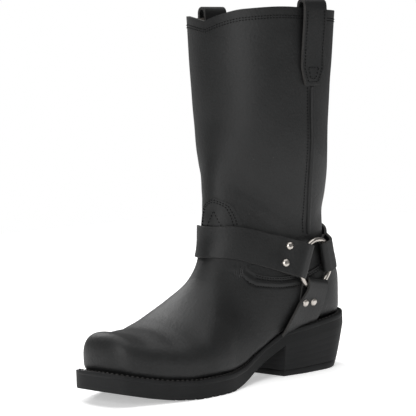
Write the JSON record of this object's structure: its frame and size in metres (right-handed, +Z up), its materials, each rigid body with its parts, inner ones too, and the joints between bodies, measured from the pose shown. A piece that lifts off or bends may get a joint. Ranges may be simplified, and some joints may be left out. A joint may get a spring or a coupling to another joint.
{
  "type": "harness boot",
  "caption": "Black leather harness boot with a squared toe, side rings held by three riveted straps, pull loops, a welted sole and a stacked heel.",
  "frame": {"origin": "centre of the heel's flat bottom, on the floor", "axes": "+Z up, -Y towards the toe, +X towards the outer side of a left foot"},
  "size_m": [0.1381, 0.2964, 0.3435],
  "materials": {
    "leather_black": "oiled, matte with a soft sheen",
    "sole_black": "matte",
    "lining": "matte",
    "nickel": "polished nickel"
  },
  "bodies": {
    "root": {"outsole": "sole_black", "welt": "sole_black", "heel_lift": "sole_black", "heel": "sole_black", "upper": "leather_black", "insole": "lining", "strap_front": "leather_black", "strap_back": "leather_black", "strap_low_outer": "leather_black", "ring_outer": "nickel", "rivet_front_outer_1": "nickel", "rivet_front_outer_2": "nickel", "rivet_low_outer_1": "nickel", "rivet_low_outer_2": "nickel", "seam_outer": "leather_black", "pull_loop_outer": "leather_black", "strap_low_inner": "leather_black", "ring_inner": "nickel", "rivet_front_inner_1": "nickel", "rivet_front_inner_2": "nickel", "rivet_low_inner_1": "nickel", "rivet_low_inner_2": "nickel", "seam_inner": "leather_black", "pull_loop_inner": "leather_black"}
  },
  "joints": []
}
